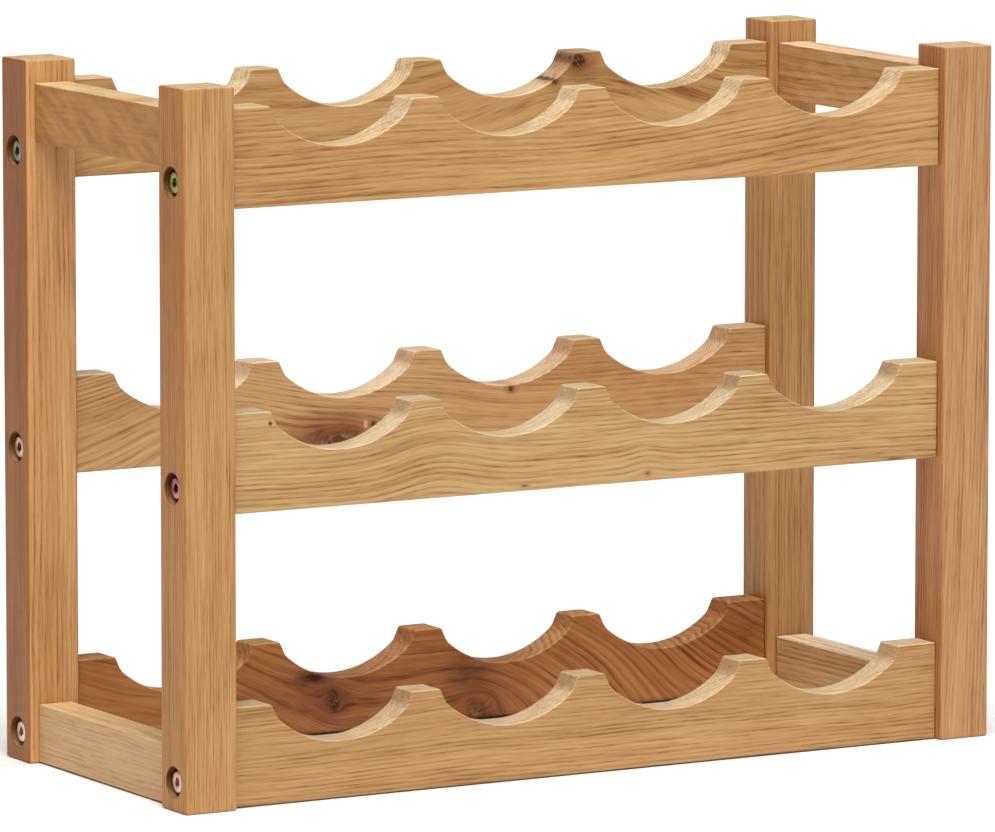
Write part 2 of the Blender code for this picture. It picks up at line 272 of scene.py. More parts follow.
def blob(along, across, place, size):
    """One at the place, fading to nothing around it."""
    du = (along - place[0]) / size[0]
    dv = (across - place[1]) / size[1]
    return ((du * du + dv * dv) * -1.0).math("EXPONENT")


def length(first, second):
    return (first * first + second * second).math("SQRT")


def grain_line(tree, straight, along, across, seed, slope, sway, humps, knots):
    """The height that each point's grain line would have on a straight-grained board."""
    line = across + (noise(tree, straight, SWAY_SCALE, seed, 1.0) - 0.5) * (sway * 2.0)
    line = line + (noise(tree, straight, WAVER_SCALE, seed + 1, 1.0) - 0.5) * (sway * 0.45)
    if slope:
        line = line - along * slope
    for place, size, lift in humps:
        line = line - blob(along, across, place, size) * lift
    for place, radius, stretch, _ in knots:
        du = (along - place[0]) / stretch
        dv = across - place[1]
        reach = (du * du + dv * dv).math("MAXIMUM", radius * radius)
        line = line - dv * (radius * radius) / reach
    return line


def year_stripes(tree, warped, line, through, along, across, seed, pith, spacing, bold):
    """The porous part of each year's ring, of a strength that differs from year to year."""
    rings = length(line - pith[0], through - pith[1]) / spacing
    rings = rings + noise(tree, warped, DRIFT_SCALE, seed + 2, 2.0) * 1.5
    years = tree.nodes.new("ShaderNodeTexWhiteNoise")
    years.noise_dimensions = "1D"
    tree.links.new((rings.math("FLOOR") + seed).socket, years.inputs["W"])
    strength = Field(tree, years.outputs["Value"]) * 0.8 + 0.35
    for place, size, amount in bold:
        strength = strength + blob(along, across, place, size) * amount
    return rings.math("FRACT").curve(RING_STOPS) * strength


def silver_grain(tree, straight, along, across, through, seed, fleck):
    """Slanting bands and small rays, as on a board sawn along the tree's radius."""
    rays = noise(tree, straight, RAY_SCALE, seed + 7, 1.0)
    turned = combine(tree, (along + across * 1.4, across - along * 0.55, through))
    bands = noise(tree, turned, BAND_SCALE, seed + 8, 1.0)
    return (bands - 0.5) * fleck * BAND_CONTRAST, (rays - 0.5) * fleck * RAY_CONTRAST


def add_knot(tree, colour, knot, along, across, through, ragged, speckle, pale):
    """A knot's rusty halo, its eye and the pale cracks in it."""
    place, radius, stretch, core = knot
    distance = length((along - place[0]) / stretch, across - place[1]) / radius + (ragged - 0.5) * 0.5
    halo = (distance * -0.55 + 1.3).clamped() * 0.7
    colour = mix_colour(tree, halo, colour, RUST, "MULTIPLY")
    colour = mix_colour(tree, distance.curve(EYE_STOPS), colour, core, "MULTIPLY")
    cracks = tree.nodes.new("ShaderNodeTexVoronoi")
    cracks.feature = "DISTANCE_TO_EDGE"
    cracks.inputs["Scale"].default_value = 1.6 / radius
    crooked = (along + (ragged - 0.5) * radius, across + (speckle - 0.5) * radius, through)
    tree.links.new(combine(tree, crooked), cracks.inputs["Vector"])
    crack = Field(tree, cracks.outputs["Distance"]).curve(CRACK_STOPS) * distance.curve(CRACKED_STOPS)
    return mix_colour(tree, crack * (ragged * 1.2 - 0.35).clamped(), colour, pale)


def oak(name, kind, tones, seed, pith, spacing, contrast=1.0, slope=0.0, sway=0.006, humps=(), knots=(),
        bold=(), stains_and_shade=(), fleck=0.0, pore=1.0, bores=(), end_tint=(0.95, 0.92, 0.98),
        painted_face_light=(1.50, 1.95, 3.05)):
    """An oak board.

    tones are its dark, middle and light colours; pith is where the tree's middle lies across and
    through the board, and spacing is the width of one year's ring. humps lift the grain lines,
    knots push them apart, bold makes them stronger, and tinted patches mark it: real stains, and
    on some boards painted shade, some of it warm. fleck is how plainly the silver grain shows, and
    pore how plainly the open pores do. bores are the centres, along and through, of shaded bolt
    holes. end_tint tints the board's ends: the end grain's own tone, and painted light where it
    pales the post tops and the scallops' steep flanks. The tint for its top, or for a post's two
    side faces, is painted light and shade there, and partly also the faces' own tone.
    """
    material, tree, shader = new_material(name)
    coordinates = tree.nodes.new("ShaderNodeTexCoord")
    split = tree.nodes.new("ShaderNodeSeparateXYZ")
    tree.links.new(coordinates.outputs["Object"], split.inputs[0])
    along, across, through = (Field(tree, split.outputs[axis]) for axis in BOARD_AXES[kind])
    straight = combine(tree, (along, across, through))
    line = grain_line(tree, straight, along, across, seed, slope, sway, humps, knots)
    warped = combine(tree, (along, line, through))
    stripes = year_stripes(tree, warped, line, through, along, across, seed, pith, spacing, bold)

    fibre = noise(tree, warped, FIBRE_SCALE, seed + 3, 3.0, 0.65)
    streak = noise(tree, warped, STREAK_SCALE, seed + 4, 2.0)
    cloud = noise(tree, warped, CLOUD_SCALE, seed + 5, 2.0)
    pore_scale = (SHORT_PORES - PORE_LENGTHENING * pore, PORE_SCALE_ACROSS, PORE_SCALE_ACROSS)
    pores = noise(tree, warped, pore_scale, seed + 6, 1.0).curve(PORE_STOPS)
    pores = pores * (stripes * (0.70 * pore) + 0.35 * pore)

    tone = (fibre - 0.5) * (FIBRE_CONTRAST * contrast) + MIDDLE_TONE
    tone = tone + (streak - 0.5) * (STREAK_CONTRAST * contrast)
    tone = tone + (cloud - 0.5) * (CLOUD_CONTRAST * contrast)
    tone = tone - stripes * (STRIPE_CONTRAST * contrast) - pores * (PORE_CONTRAST * contrast)
    if fleck:
        bands, rays = silver_grain(tree, straight, along, across, through, seed, fleck)
        tone = tone + bands + rays

    facing = tree.nodes.new("ShaderNodeSeparateXYZ")
    tree.links.new(coordinates.outputs["Normal"], facing.inputs[0])
    end = Field(tree, facing.outputs[BOARD_AXES[kind][0]]).math("ABSOLUTE").curve(END_STOPS)
    edge = Field(tree, facing.outputs[BOARD_AXES[kind][1]])
    if kind == "post":
        edge = edge.math("ABSOLUTE")
    edge = edge.curve(PAINTED_FACE_LIGHT_STOPS)
    speckle = noise(tree, straight, SPECKLE_SCALE, seed + 9, 2.0)
    tone = tone - end * ((speckle - 0.5) * END_CONTRAST)
    colour = tone.clamped().colours([(0.0, tones[0]), (0.5, tones[1]), (1.0, tones[2])])
    # Painted light: the end tint also pales the post tops and scallop flanks, and the face tint paints
    # light and shade on tops and post side faces
    colour = mix_colour(tree, end, colour, end_tint, "MULTIPLY")
    colour = mix_colour(tree, edge, colour, painted_face_light, "MULTIPLY")

    ragged = noise(tree, straight, RAGGED_SCALE, seed + 10, 2.0)
    # Tinted patches: real stains, and on some boards painted shade
    for place, size, patch_tint, amount in stains_and_shade:
        patch = blob(along, across, place, size) * (ragged * 1.3 + 0.35)
        colour = mix_colour(tree, (patch * amount).clamped(), colour, patch_tint, "MULTIPLY")
    for knot in knots:
        colour = add_knot(tree, colour, knot, along, across, through, ragged, speckle, tones[2])
    for place in bores:
        above = along - place[0]
        inside = (length(above, through - place[1]) - BORE_SHADE_RADIUS) * (-1.0 / BORE_SHADE_FADE)
        deep = (above * BORE_SHADE_SLOPE + BORE_SHADE_DEPTH).clamped()
        colour = mix_colour(tree, inside.clamped() * deep, colour, BORE_SHADE, "MULTIPLY")

    tree.links.new(colour, shader.inputs["Base Color"])
    rough = (fibre - 0.5) * 0.22 + pores * 0.12 + end * 0.15 + OAK_ROUGHNESS
    tree.links.new(rough.clamped().socket, shader.inputs["Roughness"])
    shader.inputs["Specular IOR Level"].default_value = OAK_SPECULAR
    relief = fibre * 0.35 - pores * 0.6 - stripes * 0.12
    add_bump(tree, shader, relief, GRAIN_RELIEF_STRENGTH, GRAIN_RELIEF)
    return material


# Plated steel
DRIFTING_TINT_SCALE = (160.0, 160.0, 160.0)
SCUFF_SCALE = (900.0, 900.0, 900.0)
SCUFF_RELIEF = 0.0001
SCUFF_RELIEF_STRENGTH = 0.20


def metal(name, tint, second, roughness, seed):
    """Plated steel whose colour drifts between two tints, with fine scuffs."""
    material, tree, shader = new_material(name)
    vector = tree.nodes.new("ShaderNodeTexCoord").outputs["Object"]
    drift = noise(tree, vector, DRIFTING_TINT_SCALE, seed, 2.0)
    scuffs = noise(tree, vector, SCUFF_SCALE, seed + 1, 3.0, 0.7)
    amount = ((drift - 0.5) * 2.2 + (scuffs - 0.5) * 0.8 + 0.5).clamped()
    tree.links.new(amount.colours([(0.0, tint), (1.0, second)]), shader.inputs["Base Color"])
    shader.inputs["Metallic"].default_value = 1.0
    rough = (scuffs - 0.5) * 0.5 + roughness
    tree.links.new(rough.clamped().socket, shader.inputs["Roughness"])
    add_bump(tree, shader, scuffs, SCUFF_RELIEF_STRENGTH, SCUFF_RELIEF)
    return material


# Shapes

def new_mesh(name, build):
    bm = bmesh.new()
    build(bm)
    bmesh.ops.recalc_face_normals(bm, faces=bm.faces)
    mesh = bpy.data.meshes.new(name)
    bm.to_mesh(mesh)
    bm.free()
    return mesh


def box_mesh(name, low, high):
    def build(bm):
        bmesh.ops.create_cube(bm, size=1.0)
        size = Vector(high) - Vector(low)
        middle = (Vector(high) + Vector(low)) / 2
        to_place = Matrix.Translation(middle) @ Matrix.Diagonal((*size, 1.0))
        bmesh.ops.transform(bm, matrix=to_place, verts=bm.verts)
    return new_mesh(name, build)


def outline_mesh(name, points, near, far):
    """An outline in XZ carried along Y from near to far."""
    def build(bm):
        front = [bm.verts.new((x, near, z)) for x, z in points]
        back = [bm.verts.new((x, far, z)) for x, z in points]
        bm.faces.new(front)
        bm.faces.new(list(reversed(back)))
        count = len(points)
        for i in range(count):
            j = (i + 1) % count
            bm.faces.new((front[j], front[i], back[i], back[j]))
    return new_mesh(name, build)


def turned_mesh(name, profile, steps=ROUND_STEPS):
    """A closed (radius, height) profile turned about +Z; its two ends lie on the axis."""
    def build(bm):
        rings = []
        for radius, height in profile:
            if radius == 0.0:
                rings.append([bm.verts.new((0.0, 0.0, height))])
                continue
            ring = []
            for step in range(steps):
                angle = math.tau * step / steps
                ring.append(bm.verts.new((radius * math.cos(angle), radius * math.sin(angle), height)))
            rings.append(ring)
        for low, high in zip(rings, rings[1:]):
            for i in range(steps):
                j = (i + 1) % steps
                corners = [low[i % len(low)], low[j % len(low)], high[j % len(high)], high[i % len(high)]]
                bm.faces.new(list(dict.fromkeys(corners)))
    return new_mesh(name, build)


def scallop_half():
    """Half of one scallop, from the land down to the bottom, with the rail's top at zero."""
    bowl_angle = math.asin(BOWL_HALF_WIDTH / BOWL_RADIUS)
    bowl_top = BOWL_RADIUS * (1 - math.cos(bowl_angle)) - SCALLOP_DEPTH
    turn_rise = TURN_RADIUS * (math.cos(bowl_angle) - math.cos(FLANK_ANGLE))
    turn_run = TURN_RADIUS * (math.sin(FLANK_ANGLE) - math.sin(bowl_angle))
    land_edge = BOWL_HALF_WIDTH + turn_run - (bowl_top + turn_rise) / math.tan(FLANK_ANGLE)
    corner_start = land_edge + LAND_CORNER_RADIUS * math.tan(FLANK_ANGLE / 2)

    points = []
    for step in range(LAND_CORNER_STEPS + 1):
        angle = FLANK_ANGLE * step / LAND_CORNER_STEPS
        x = corner_start - LAND_CORNER_RADIUS * math.sin(angle)
        points.append((x, LAND_CORNER_RADIUS * (math.cos(angle) - 1)))
    for step in range(TURN_STEPS):
        angle = FLANK_ANGLE + (bowl_angle - FLANK_ANGLE) * step / TURN_STEPS
        x = BOWL_HALF_WIDTH + TURN_RADIUS * (math.sin(angle) - math.sin(bowl_angle))
        points.append((x, bowl_top + TURN_RADIUS * (math.cos(bowl_angle) - math.cos(angle))))
    half_steps = BOWL_STEPS // 2
    for step in range(half_steps + 1):
        angle = bowl_angle * (1 - step / half_steps)
        points.append((BOWL_RADIUS * math.sin(angle), BOWL_RADIUS * (1 - math.cos(angle)) - SCALLOP_DEPTH))
    return points


def rail_outline(low, high):
    """The rail's outline between the corners of its box, with the scallops along its top."""
    points = [(low.x, low.z), (high.x, low.z), (high.x, high.z)]
    right = scallop_half()
    left = [(-x, z) for x, z in reversed(right[:-1])]
    middle = (low.x + high.x) / 2
    for place in reversed(range(BOTTLES_PER_RAIL)):
        centre = middle + (place - (BOTTLES_PER_RAIL - 1) / 2) * SCALLOP_PITCH
        points += [(centre + x, high.z + z) for x, z in right + left]
    points.append((low.x, high.z))
    return points


def new_object(name, mesh, place=None):
    piece = bpy.data.objects.new(name, mesh)
    scene.collection.objects.link(piece)
    if place is not None:
        mesh.transform(place)
    return piece


def finished(piece, edge, cutters):
    """The piece with its edges eased and its holes cut, as plain mesh."""
    if edge:
        ease = piece.modifiers.new("ease", "BEVEL")
        ease.width = edge
        ease.segments = EDGE_SEGMENTS
        ease.limit_method = "ANGLE"
        ease.angle_limit = EASED_ABOVE
    for cutter in cutters:
        cut = piece.modifiers.new("cut", "BOOLEAN")
        cut.operation = "DIFFERENCE"
        cut.solver = "EXACT"
        cut.object = cutter
    tidy = piece.modifiers.new("normals", "WEIGHTED_NORMAL")
    tidy.keep_sharp = True
    piece.data.shade_smooth()
    piece.data.set_sharp_from_angle(angle=SHARP_ABOVE)
    bpy.context.view_layer.update()
    seen = piece.evaluated_get(bpy.context.evaluated_depsgraph_get())
    mesh = bpy.data.meshes.new_from_object(seen)
    piece.modifiers.clear()
    piece.data = mesh
    for cutter in cutters:
        bpy.data.objects.remove(cutter, do_unlink=True)
    return piece


def dress(piece, node, material):
    piece.data.materials.clear()
    piece.data.materials.append(material)
    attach(piece, "root")
    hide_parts(node)


def bolt_hole(side, y, z):
    """The counterbore, with its rim eased, and the shank's hole."""
    profile = [
        (0.0, SHANK_HOLE_LENGTH),
        (SHANK_HOLE_RADIUS, SHANK_HOLE_LENGTH),
        (SHANK_HOLE_RADIUS, COUNTERBORE_DEPTH),
        (COUNTERBORE_RADIUS, COUNTERBORE_DEPTH),
        (COUNTERBORE_RADIUS, COUNTERBORE_EDGE),
        (COUNTERBORE_RADIUS + COUNTERBORE_EDGE, 0.0),
        (COUNTERBORE_RADIUS + COUNTERBORE_EDGE, -OVERRUN),
        (0.0, -OVERRUN),
    ]
    low, high = cad_box
    outside = high[0] if side > 0 else low[0]
    place = Matrix.Translation((outside, y, z)) @ Matrix.Rotation(-side * math.pi / 2, 4, "Y")
    return new_object("hole", turned_mesh("hole", profile), place)


def grown(node, clearance):
    """A box a little bigger than a fitting, to cut its hole."""
    low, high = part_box(node)
    room = Vector((clearance, clearance, clearance))
    return new_object("hole", box_mesh("hole", low - room, high + room))


def dowel_hole(node):
    """The round hole that a dowel lies in, along X."""
    low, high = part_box(node)
    middle = (low + high) / 2
    reach = (high.x - low.x) / 2 + GAP
    radius = (high.z - low.z) / 2 + GAP
    profile = [(0.0, reach), (radius, reach), (radius, -reach), (0.0, -reach)]
    turn = Matrix.Rotation(math.pi / 2, 4, "Y")
    return new_object("hole", turned_mesh("hole", profile), Matrix.Translation(middle) @ turn)


def nut_hole(node, underside):
    """The nut's hole, open at the rail's underside."""
    low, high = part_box(node)
    middle = (low + high) / 2
    radius = (high.x - low.x) / 2 + NUT_CLEARANCE
    top = high.z + NUT_CLEARANCE
    profile = [(0.0, top), (radius, top), (radius, underside - OVERRUN), (0.0, underside - OVERRUN)]
    return new_object("hole", turned_mesh("hole", profile), Matrix.Translation((middle.x, middle.y, 0.0)))


# Which fittings meet which boards
ROWS = ("front", "rear")
LEVELS = ("bottom", "middle", "top")
SIDES = {"left": -1, "right": 1}
SIDE_LEVELS = ("bottom", "top")


def bolt_centre(place):
    low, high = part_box("bolt_" + place)
    return (low.y + high.y) / 2, (low.z + high.z) / 2


def make_posts(finishes):
    for row in ROWS:
        for side, sign in SIDES.items():
            name = f"post_{row}_{side}"
            low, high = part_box(name)
            post = new_object(name + "_oak", box_mesh(name, low, high))
            cutters = []
            for level in LEVELS:
                place = f"{row}_{level}_{side}"
                cutters.append(bolt_hole(sign, *bolt_centre(place)))
                cutters.append(dowel_hole("dowel_" + place))
            cutters += [grown(f"tenon_{row}_{level}_{side}", GAP) for level in SIDE_LEVELS]
            dress(finished(post, POST_EDGE, cutters), name, finishes[name])


def make_rails(finishes):
    for row in ROWS:
        for level in LEVELS:
            name = f"rail_{row}_{level}"
            low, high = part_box(name)
            rail = new_object(name + "_oak", outline_mesh(name, rail_outline(low, high), low.y, high.y))
            cutters = []
            for side, sign in SIDES.items():
                place = f"{row}_{level}_{side}"
                cutters.append(bolt_hole(sign, *bolt_centre(place)))
                cutters.append(dowel_hole("dowel_" + place))
                cutters.append(nut_hole("barrel_nut_" + place, low.z))
            dress(finished(rail, RAIL_EDGE, cutters), name, finishes[name])


def make_side_rails(finishes):
    for side in SIDES:
        for level in SIDE_LEVELS:
            name = f"side_rail_{side}_{level}"
            low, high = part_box(name)
            side_rail = new_object(name + "_oak", box_mesh(name, low, high))
            cutters = [grown(f"tenon_{row}_{level}_{side}", GAP) for row in ROWS]
            dress(finished(side_rail, SIDE_RAIL_EDGE, cutters), name, finishes[name])


def make_bolts(finishes):
    """Bolts with an eased head and a hexagon socket, its rim slightly countersunk."""
    for row in ROWS:
        for level in LEVELS:
            for side, sign in SIDES.items():
                place = f"{row}_{level}_{side}"
                node = "bolt_" + place
                low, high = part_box(node)
                reach = high.x - low.x
                ease = HEAD_EDGE / 3
                rim = SOCKET_ACROSS_FLATS / math.sqrt(3) + SOCKET_RIM
                profile = [
                    (0.0, reach),
                    (SHANK_RADIUS - HEAD_EDGE, reach),
                    (SHANK_RADIUS, reach - HEAD_EDGE),
                    (SHANK_RADIUS, HEAD_HEIGHT),
                    (HEAD_RADIUS - ease, HEAD_HEIGHT),
                    (HEAD_RADIUS, HEAD_HEIGHT - ease),
                    (HEAD_RADIUS, HEAD_EDGE),
                    (HEAD_RADIUS - ease, ease),
                    (HEAD_RADIUS - HEAD_EDGE, 0.0),
                    (rim, 0.0),
                    (rim - SOCKET_RIM, SOCKET_RIM),
                    (0.0, SOCKET_RIM),
                ]
                start = low.x if sign < 0 else high.x
                y, z = bolt_centre(place)
                turn = Matrix.Rotation(-sign * math.pi / 2, 4, "Y")
                to_place = Matrix.Translation((start, y, z)) @ turn
                bolt = new_object(node + "_plated", turned_mesh(node, profile), to_place)
                key_radius = SOCKET_ACROSS_FLATS / math.sqrt(3)
                key_profile = [
                    (0.0, SOCKET_DEPTH),
                    (key_radius, SOCKET_DEPTH),
                    (key_radius, -SOCKET_DEPTH),
                    (0.0, -SOCKET_DEPTH),
                ]
                key = new_object("key", turned_mesh("key", key_profile, SOCKET_SIDES), to_place)
                dress(finished(bolt, 0.0, [key]), node, finishes[row, level])


# Tones of oak: dark, middle and light
HONEY = ((0.225, 0.086, 0.022), (0.445, 0.234, 0.081), (0.570, 0.345, 0.150))
HONEY_PALE = ((0.240, 0.096, 0.026), (0.463, 0.255, 0.092), (0.590, 0.368, 0.166))
HONEY_GOLD = ((0.215, 0.086, 0.024), (0.422, 0.235, 0.087), (0.545, 0.345, 0.158))
HONEY_LIGHT = ((0.290, 0.112, 0.032), (0.575, 0.306, 0.116), (0.715, 0.430, 0.200))
YELLOW = ((0.250, 0.114, 0.037), (0.472, 0.284, 0.112), (0.605, 0.400, 0.192))
PINK = ((0.240, 0.092, 0.030), (0.430, 0.222, 0.092), (0.560, 0.330, 0.160))
TAN = ((0.270, 0.112, 0.036), (0.540, 0.310, 0.130), (0.690, 0.450, 0.220))
AMBER = ((0.200, 0.066, 0.010), (0.400, 0.166, 0.032), (0.525, 0.255, 0.066))
SAND = ((0.310, 0.155, 0.062), (0.580, 0.350, 0.165), (0.710, 0.480, 0.260))
HEART = ((0.120, 0.030, 0.009), (0.380, 0.140, 0.040), (0.540, 0.262, 0.090))

# Tints, which multiply those tones in patches: knots and stains, and in places painted shade
# A knot's dark core colour, also used as a painted contact shadow along the rear bottom rail's lower edge
DARK_CORE_AND_SHADOW = (0.14, 0.09, 0.07)
GREYED = (0.55, 0.62, 0.75)
MAUVE = (0.56, 0.46, 0.60)
RUST = (0.55, 0.38, 0.30)
PALE = (2.20, 2.60, 3.40)
LIGHTER = (1.15, 1.18, 1.25)
SHADED = (0.80, 0.66, 0.50)
# Painted warm shade for the upper part of the left posts' left faces
PAINTED_WARM_SHADE = (0.84, 0.69, 0.44)


def bore_centres(row, side):
    """Where the bolt holes of a post lie, up it and through it."""
    centres = [bolt_centre(f"{row}_{level}_{side}") for level in LEVELS]
    return [(z, y) for y, z in centres]


LEFT_FRONT_BORES = bore_centres("front", "left")
RIGHT_FRONT_BORES = bore_centres("front", "right")
LEFT_REAR_BORES = bore_centres("rear", "left")
RIGHT_REAR_BORES = bore_centres("rear", "right")

LEFT_FACE = cad_box[0][0]

# A hump is (place, size, lift), a knot (place, radius, stretch, core), a bold patch (place, size,
# amount) and a tinted patch (place, size, tint, amount), a real stain or painted shade; places are
# along and across the board.
BOARDS = {
    # The top rails' end_tint paints light on the steep flanks of their scallops
    "rail_front_top": dict(
        tones=HONEY_PALE, seed=11, pith=(0.30, -0.16), spacing=0.0028, end_tint=(1.25, 1.45, 1.80),
        humps=[
            ((0.260, 0.380), (0.170, 0.080), 0.022),
            ((-0.110, 0.370), (0.060, 0.060), 0.003),
        ],
        bold=[
            ((0.110, 0.374), (0.120, 0.006), 0.6),
            ((-0.190, 0.357), (0.070, 0.008), 0.5),
        ],
        stains_and_shade=[((-0.200, 0.362), (0.050, 0.0012), RUST, 0.35)],
    ),
    "rail_front_middle": dict(
        tones=YELLOW, seed=23, pith=(0.10, -0.19), spacing=0.0022, contrast=0.98,
        humps=[
            ((-0.105, 0.195), (0.034, 0.040), 0.0085),
            ((0.038, 0.185), (0.014, 0.014), 0.0035),
        ],
        stains_and_shade=[
            ((-0.2155, 0.2235), (0.0011, 0.0012), DARK_CORE_AND_SHADOW, 1.2),
            ((-0.046, 0.175), (0.0030, 0.0008), DARK_CORE_AND_SHADOW, 0.7),
            ((0.038, 0.1765), (0.0016, 0.0018), RUST, 0.9),
            ((0.210, 0.1732), (0.0060, 0.0009), DARK_CORE_AND_SHADOW, 0.7),
        ],
    ),
    "rail_front_bottom": dict(
        tones=HONEY_GOLD, seed=37, pith=(-0.07, -0.17), spacing=0.0020, contrast=0.92,
        humps=[((-0.080, 0.030), (0.050, 0.040), 0.003)],
        stains_and_shade=[
            ((0.115, 0.016), (0.0250, 0.0015), RUST, 0.40),
            ((-0.040, 0.014), (0.1400, 0.0040), LIGHTER, 0.8),
        ],
    ),
    "rail_rear_top": dict(
        tones=HONEY_PALE, seed=41, pith=(0.34, 0.22), spacing=0.0036, contrast=1.05,
        end_tint=(1.25, 1.45, 1.80),
        humps=[
            ((0.110, 0.392), (0.075, 0.050), 0.030),
            ((-0.200, 0.370), (0.050, 0.040), 0.010),
        ],
        knots=[
            ((0.105, 0.402), 0.0062, 1.15, DARK_CORE_AND_SHADOW),
            ((0.089, 0.390), 0.0028, 1.2, DARK_CORE_AND_SHADOW),
        ],
        bold=[((0.160, 0.382), (0.050, 0.015), 1.3)],
        stains_and_shade=[((0.106, 0.400), (0.0150, 0.0090), RUST, 0.7)],
    ),
    "rail_rear_middle": dict(
        tones=TAN, seed=53, pith=(0.12, 0.20), spacing=0.0019, contrast=0.90,
        humps=[
            ((-0.150, 0.200), (0.070, 0.060), 0.030),
            ((-0.020, 0.212), (0.070, 0.040), 0.010),
        ],
        knots=[
            ((-0.062, 0.178), 0.0100, 2.2, RUST),
            ((0.058, 0.203), 0.0022, 1.3, DARK_CORE_AND_SHADOW),
        ],
        bold=[
            ((-0.215, 0.200), (0.050, 0.040), 0.3),
            ((-0.075, 0.194), (0.045, 0.018), 1.0),
        ],
        stains_and_shade=[
            ((-0.066, 0.184), (0.0300, 0.0120), RUST, 1.00),
            ((-0.0435, 0.188), (0.0011, 0.0018), PALE, 1.4),
            ((-0.038, 0.188), (0.0020, 0.0020), DARK_CORE_AND_SHADOW, 0.9),
            ((0.160, 0.205), (0.1100, 0.0500), SHADED, 0.75),
        ],
    ),
    "rail_rear_bottom": dict(
        tones=HEART, seed=67, pith=(-0.06, 0.16), spacing=0.0046, contrast=0.85, slope=-0.40,
        sway=0.012, painted_face_light=(1.45, 1.90, 2.40),
        humps=[
            ((0.060, 0.030), (0.100, 0.070), 0.045),
            ((-0.160, 0.030), (0.060, 0.050), 0.014),
        ],
        knots=[
            ((-0.066, 0.020), 0.0070, 1.0, GREYED),
            ((0.034, 0.006), 0.0085, 1.2, GREYED),
        ],
        bold=[((0.170, 0.025), (0.080, 0.040), 0.5)],
        stains_and_shade=[
            ((-0.080, 0.036), (0.0120, 0.0050), DARK_CORE_AND_SHADOW, 1.0),
            ((0.026, 0.030), (0.0130, 0.0090), DARK_CORE_AND_SHADOW, 0.55),
            ((-0.070, 0.022), (0.0600, 0.0200), MAUVE, 0.85),
            ((0.040, 0.030), (0.0500, 0.0250), MAUVE, 0.60),
            ((0.225, 0.045), (0.0300, 0.0250), RUST, 0.6),
            # painted contact shadow: a dark line along the rail's lower edge, just above the floor
            ((0.000, 0.000), (0.9000, 0.0020), DARK_CORE_AND_SHADOW, 0.8),
        ],
    ),
    "side_rail_left_top": dict(
        tones=AMBER, seed=71, pith=(0.44, -0.31), spacing=0.0030, contrast=0.35, fleck=0.80,
        pore=0.2, painted_face_light=(1.70, 2.70, 6.50),
    ),
    "side_rail_left_bottom": dict(
        tones=SAND, seed=83, pith=(-0.10, -0.30), spacing=0.0026, contrast=0.7, fleck=0.10,
        painted_face_light=(1.18, 1.28, 1.32),
    ),
    "side_rail_right_top": dict(
        tones=HONEY_LIGHT, seed=97, pith=(0.45, 0.34), spacing=0.0030, fleck=0.25,
    ),
    "side_rail_right_bottom": dict(
        tones=TAN, seed=101, pith=(-0.09, 0.32), spacing=0.0028,
    ),
    # The posts' end_tint paints light on their tops, and their side-face tint paints light and shade on
    # their side faces
    "post_front_left": dict(
        tones=HONEY, seed=113, pith=(-0.35, -0.16), spacing=0.0017, contrast=0.98, sway=0.002,
        pore=0.6, bores=LEFT_FRONT_BORES, end_tint=(1.35, 1.80, 2.85),
        painted_face_light=(1.02, 0.87, 0.60),
        # painted warm shade on the upper part of the post's left face
        stains_and_shade=[((0.330, LEFT_FACE), (0.1300, 0.0012), PAINTED_WARM_SHADE, 1.0)],
    ),
    "post_front_right": dict(
        tones=PINK, seed=127, pith=(0.33, -0.18), spacing=0.0020, contrast=1.05, slope=0.035,
        sway=0.003, pore=0.6, bores=RIGHT_FRONT_BORES, end_tint=(1.45, 1.90, 2.60),
        painted_face_light=(1.02, 0.84, 0.67),
    ),
    "post_rear_left": dict(
        tones=HONEY_LIGHT, seed=131, pith=(-0.33, 0.17), spacing=0.0022, sway=0.003, pore=0.6,
        bores=LEFT_REAR_BORES, end_tint=(1.05, 1.30, 1.80), painted_face_light=(0.55, 0.37, 0.20),
        stains_and_shade=[
            # painted warm shade on the upper part of the post's left face, and painted shade down its
            # front face beside the side rail
            ((0.330, LEFT_FACE), (0.1300, 0.0012), PAINTED_WARM_SHADE, 0.9),
            ((0.160, -0.262), (0.1500, 0.0080), SHADED, 0.5),
        ],
    ),
    "post_rear_right": dict(
        tones=HONEY, seed=149, pith=(0.36, 0.05), spacing=0.0022, sway=0.003, pore=0.6,
        bores=RIGHT_REAR_BORES, end_tint=(1.35, 1.80, 2.70), painted_face_light=(1.12, 1.00, 0.80),
    ),
}


def board_kind(name):
    for kind in ("side_rail", "rail", "post"):
        if name.startswith(kind):
            return kind
    raise ValueError(name)


oaks = {name: oak("oak_" + name, board_kind(name), **facts) for name, facts in BOARDS.items()}
plating = {
    ("front", "top"): metal("plating_olive", (0.05, 0.06, 0.005), (0.50, 0.48, 0.12), 0.30, 5),
    ("front", "middle"): metal("plating_mauve", (0.26, 0.08, 0.09), (0.56, 0.24, 0.24), 0.33, 9),
    ("front", "bottom"): metal("plating_rose", (0.52, 0.30, 0.28), (0.84, 0.62, 0.58), 0.32, 13),
    ("rear", "top"): metal("plating_grey", (0.12, 0.15, 0.09), (0.34, 0.38, 0.26), 0.34, 19),
    ("rear", "middle"): metal("plating_copper", (0.38, 0.21, 0.16), (0.70, 0.50, 0.40), 0.34, 25),
    ("rear", "bottom"): metal("plating_sand", (0.56, 0.40, 0.30), (0.86, 0.72, 0.58), 0.32, 29),
}
make_posts(oaks)
make_rails(oaks)
make_side_rails(oaks)
make_bolts(plating)

